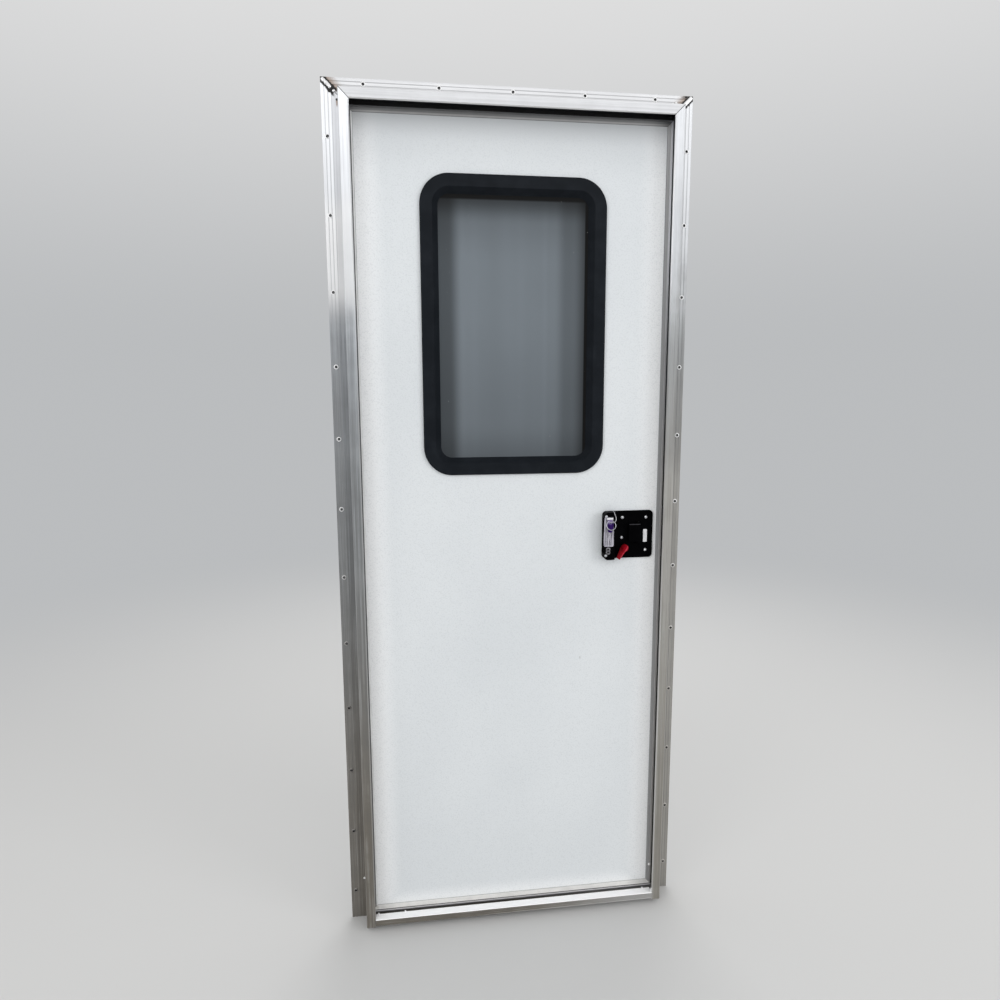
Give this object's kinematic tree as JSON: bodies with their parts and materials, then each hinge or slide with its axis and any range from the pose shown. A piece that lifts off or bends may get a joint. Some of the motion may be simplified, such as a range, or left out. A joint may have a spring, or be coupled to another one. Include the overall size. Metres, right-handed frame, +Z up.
{
  "type": "caravan entry door",
  "caption": "Caravan entry door: white slab with a framed window, latch and dead bolt lever, hung in a flanged aluminium frame that screws over a wall opening.",
  "frame": {"origin": "on the seat face of the sill's flange, halfway along it and halfway up it", "axes": "+X to the lock side, +Y out of the caravan, +Z up"},
  "size_m": [0.7862, 0.0821, 1.8786],
  "materials": {
    "mill_aluminium": "bare mill finish with drawing lines",
    "rail_aluminium": "satin",
    "zinc_steel": "zinc plated",
    "white_panel": "fine pebble texture",
    "foam": "closed cell foam",
    "seal_rubber": "soft black",
    "black_frame": "satin black",
    "frosted_glass": "frosted",
    "black_lock": "satin black",
    "red_lever": "moulded red"
  },
  "bodies": {
    "frame": {"hinge_jamb": "mill_aluminium", "strike_jamb": "mill_aluminium", "head_jamb": "mill_aluminium", "sill": "mill_aluminium", "strike_plate": "zinc_steel", "hinge_frame_leaves": "mill_aluminium", "hinge_pins": "zinc_steel"},
    "door": {"hinge_door_leaves": "mill_aluminium", "hinge_rail": "rail_aluminium", "lock_rail": "rail_aluminium", "top_rail": "rail_aluminium", "bottom_rail": "rail_aluminium", "inner_skin": "white_panel", "foam_core": "foam", "outer_skin": "white_panel", "door_seal": "seal_rubber", "bottom_sweep": "seal_rubber", "window_inner_ring": "black_frame", "window_glass": "frosted_glass", "window_gasket": "seal_rubber", "window_outer_ring": "black_frame", "lock_plate": "black_lock", "inside_handle_pin": "zinc_steel", "lever_spindle": "zinc_steel", "outer_lock_plate": "black_lock", "outer_pull": "black_lock", "key_cylinders": "zinc_steel", "lock_edge_plate": "zinc_steel", "latch_bolt": "zinc_steel", "dead_bolt": "zinc_steel"},
    "inside_handle": {"inside_handle": "black_lock"},
    "dead_bolt_lever": {"dead_bolt_lever": "red_lever"}
  },
  "joints": [
    {"name": "door_swing", "type": "hinge", "parent": "frame", "child": "door", "pos_m": [-0.3675, 0.012, 0.91], "axis": [0, 0, 1], "range_deg": [0, 160]},
    {"name": "handle_pull", "type": "hinge", "parent": "door", "child": "inside_handle", "pos_m": [0.286, -0.028, 0.9215], "axis": [0, 0, 1], "range_deg": [0, 30], "stiffness_Nm_per_rad": 0.2},
    {"name": "lever_turn", "type": "hinge", "parent": "door", "child": "dead_bolt_lever", "pos_m": [0.2528, -0.034, 0.8873], "axis": [0, -1, 0], "range_deg": [0, 90]}
  ]
}
